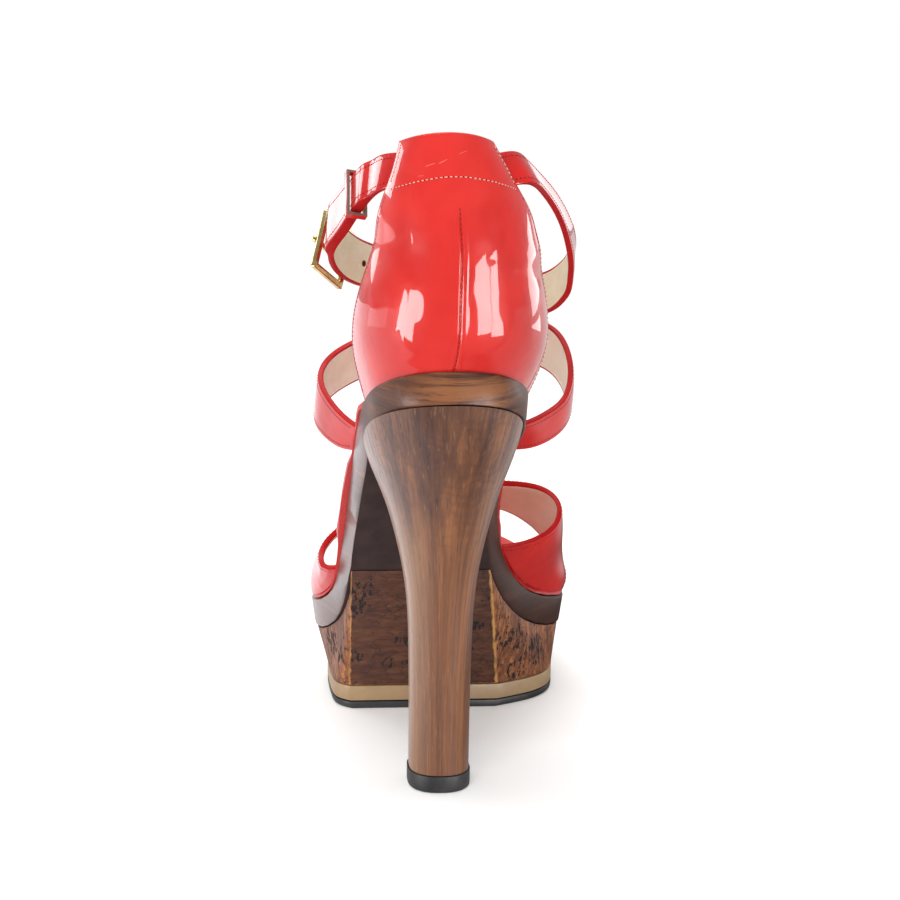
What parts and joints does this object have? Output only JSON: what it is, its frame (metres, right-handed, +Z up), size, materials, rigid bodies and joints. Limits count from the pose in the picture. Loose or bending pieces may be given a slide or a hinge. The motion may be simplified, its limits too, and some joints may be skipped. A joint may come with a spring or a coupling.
{
  "type": "platform sandal",
  "caption": "High-heeled platform sandal for the left foot: patent straps and closed back on a wooden sole board with a cork platform and a tall wooden heel.",
  "frame": {"origin": "middle of the heel tip's lower face, on the floor", "axes": "+Y from heel to toe, +X to the inner (medial) side, +Z up"},
  "size_m": [0.0961, 0.1965, 0.2128],
  "materials": {
    "outsole": "matt black rubber",
    "midsole": "matt tan",
    "platform": "dark stained cork, satin",
    "wood_sole": "dark stained wood, satin lacquer",
    "heel": "brown stained wood, satin lacquer",
    "heel_tip": "matt black rubber",
    "insole": "smooth leather",
    "counter": "gloss patent",
    "ankle_strap": "gloss patent",
    "keeper": "gloss patent",
    "buckle_frame": "pale polished brass",
    "buckle_prong": "pale polished brass",
    "instep_strap": "gloss patent",
    "toe_strap": "gloss patent"
  },
  "bodies": {
    "root": {"outsole": "outsole", "midsole": "midsole", "platform": "platform", "wood_sole": "wood_sole", "heel": "heel", "heel_tip": "heel_tip", "insole": "insole", "counter": "counter", "ankle_strap": "ankle_strap", "keeper": "keeper", "buckle_frame": "buckle_frame", "buckle_prong": "buckle_prong", "instep_strap": "instep_strap", "toe_strap": "toe_strap"}
  },
  "joints": []
}
